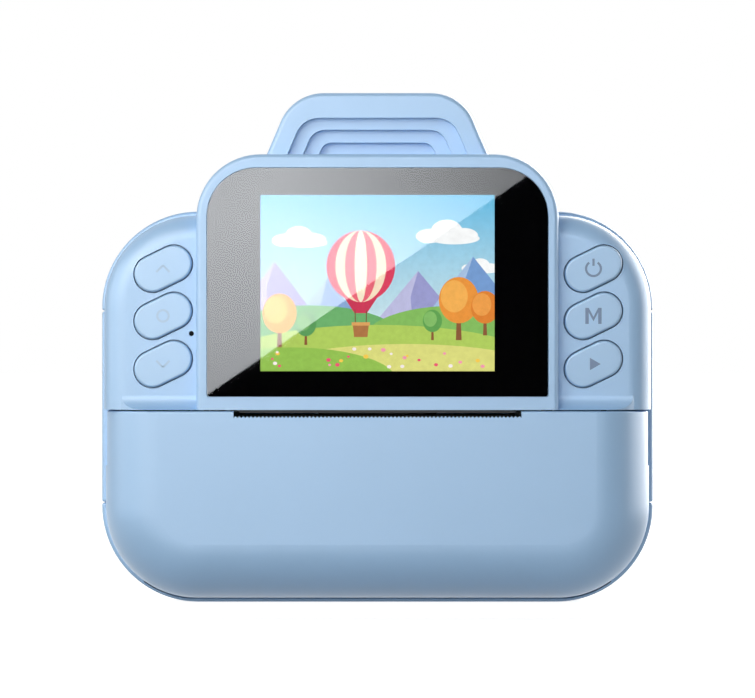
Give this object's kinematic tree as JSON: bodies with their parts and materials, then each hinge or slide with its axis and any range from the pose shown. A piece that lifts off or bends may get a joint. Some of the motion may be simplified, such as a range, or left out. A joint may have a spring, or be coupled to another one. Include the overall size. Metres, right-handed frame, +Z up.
{
  "type": "kids instant print camera",
  "caption": "Rounded pocket camera with a domed lens, selfie mirror, back screen, press keys and a hinged paper door with a built-in thermal printer.",
  "frame": {"origin": "centre of the overall box, on the flat underside", "axes": "+Z up, -Y towards the lens side, +X to the right when the lens side is seen"},
  "size_m": [0.118, 0.057, 0.1083],
  "materials": {
    "shell_blue": "satin, very fine moulded grain",
    "plate_blue": "smooth satin",
    "bezel_blue": "smooth satin",
    "baffle_blue": "fine turned steps",
    "trim_pale": "bright",
    "button_blue": "satin with printed signs",
    "screen_glass": "polished black with a clear window",
    "screen_panel": "lit display",
    "mirror": "polished",
    "lens_glass": "coated",
    "black_plastic": "matt",
    "grey_plastic": "matt",
    "white_plastic": "satin",
    "core_plastic": "satin",
    "black_rubber": "matt",
    "paper": "smooth thermal paper",
    "circuit_board": "solder mask",
    "flex_cable": "amber film",
    "battery_wrap": "foil",
    "speaker_metal": "painted",
    "motor_steel": "brushed",
    "bright_steel": "bright",
    "aluminium": "milled",
    "brass": "turned"
  },
  "bodies": {
    "camera": {"top_cover": "shell_blue", "front_housing": "shell_blue", "chin_cover": "shell_blue", "rear_housing": "shell_blue", "hump_cover": "shell_blue", "lens_plate": "plate_blue", "lens_base_ring": "plate_blue", "lens_dome": "bezel_blue", "lens_trim_ring": "trim_pale", "lens_baffle": "baffle_blue", "lens_barrel": "black_plastic", "lens_retainer_ring": "trim_pale", "front_lens": "lens_glass", "rear_lens": "lens_glass", "sensor_board": "circuit_board", "selfie_mirror": "mirror", "screen_glass": "screen_glass", "lcd_panel": "screen_panel", "lcd_flex": "flex_cable", "main_board": "circuit_board", "left_button_board": "circuit_board", "right_button_board": "circuit_board", "button_switches": "black_plastic", "shutter_switch": "black_plastic", "speaker": "speaker_metal", "microphone": "speaker_metal", "battery": "battery_wrap", "battery_tray": "black_plastic", "side_board": "circuit_board", "usb_port": "bright_steel", "card_reader": "bright_steel", "printer_chassis": "grey_plastic", "thermal_head": "black_plastic", "head_heatsink": "aluminium", "head_leaf_spring": "bright_steel", "door_hinge_pins": "bright_steel", "stepper_motor": "motor_steel", "motor_bracket": "grey_plastic", "idler_pin": "bright_steel", "housing_screws": "bright_steel", "chassis_screws": "bright_steel", "board_screws": "bright_steel"},
    "paper_door": {"paper_door": "shell_blue", "platen_bushes": "white_plastic"},
    "platen": {"platen_roller": "black_rubber", "platen_shaft": "bright_steel", "platen_gear": "white_plastic"},
    "paper_roll": {"paper_roll": "paper", "roll_core": "core_plastic"},
    "idler": {"idler_gear": "white_plastic"},
    "motor_rotor": {"motor_pinion": "brass", "motor_shaft": "bright_steel"},
    "shutter": {"shutter_button": "button_blue"},
    "power_key": {"power_button": "button_blue"},
    "mode_key": {"mode_button": "button_blue"},
    "play_key": {"play_button": "button_blue"},
    "up_key": {"up_button": "button_blue"},
    "ok_key": {"ok_button": "button_blue"},
    "down_key": {"down_button": "button_blue"}
  },
  "joints": [
    {"name": "door_hinge", "type": "hinge", "parent": "camera", "child": "paper_door", "pos_m": [0, 0.0155, 0.0046], "axis": [-1, 0, 0], "range_deg": [0, 55]},
    {"name": "platen_spin", "type": "hinge", "parent": "paper_door", "child": "platen", "pos_m": [0, 0.0205, 0.036], "axis": [1, 0, 0], "continuous": true},
    {"name": "roll_spin", "type": "hinge", "parent": "camera", "child": "paper_roll", "pos_m": [0, 0.0055, 0.0195], "axis": [1, 0, 0], "continuous": true},
    {"name": "idler_spin", "type": "hinge", "parent": "camera", "child": "idler", "pos_m": [0, 0.00801, 0.03799], "axis": [1, 0, 0], "continuous": true},
    {"name": "motor_spin", "type": "hinge", "parent": "camera", "child": "motor_rotor", "pos_m": [0, 0.00268, 0.02877], "axis": [1, 0, 0], "continuous": true},
    {"name": "shutter_press", "type": "slide", "parent": "camera", "child": "shutter", "axis": [0.4067, 0, -0.9135], "range_m": [0, 0.0008], "stiffness_N_per_m": 200},
    {"name": "power_press", "type": "slide", "parent": "camera", "child": "power_key", "axis": [0, -1, 0], "range_m": [0, 0.0005], "stiffness_N_per_m": 150},
    {"name": "mode_press", "type": "slide", "parent": "camera", "child": "mode_key", "axis": [0, -1, 0], "range_m": [0, 0.0005], "stiffness_N_per_m": 150},
    {"name": "play_press", "type": "slide", "parent": "camera", "child": "play_key", "axis": [0, -1, 0], "range_m": [0, 0.0005], "stiffness_N_per_m": 150},
    {"name": "up_press", "type": "slide", "parent": "camera", "child": "up_key", "axis": [0, -1, 0], "range_m": [0, 0.0005], "stiffness_N_per_m": 150},
    {"name": "ok_press", "type": "slide", "parent": "camera", "child": "ok_key", "axis": [0, -1, 0], "range_m": [0, 0.0005], "stiffness_N_per_m": 150},
    {"name": "down_press", "type": "slide", "parent": "camera", "child": "down_key", "axis": [0, -1, 0], "range_m": [0, 0.0005], "stiffness_N_per_m": 150}
  ],
  "couplings": [
    {"joint": "platen_spin", "follows": "idler_spin", "ratio": -1.5},
    {"joint": "motor_spin", "follows": "idler_spin", "ratio": -2.5}
  ]
}
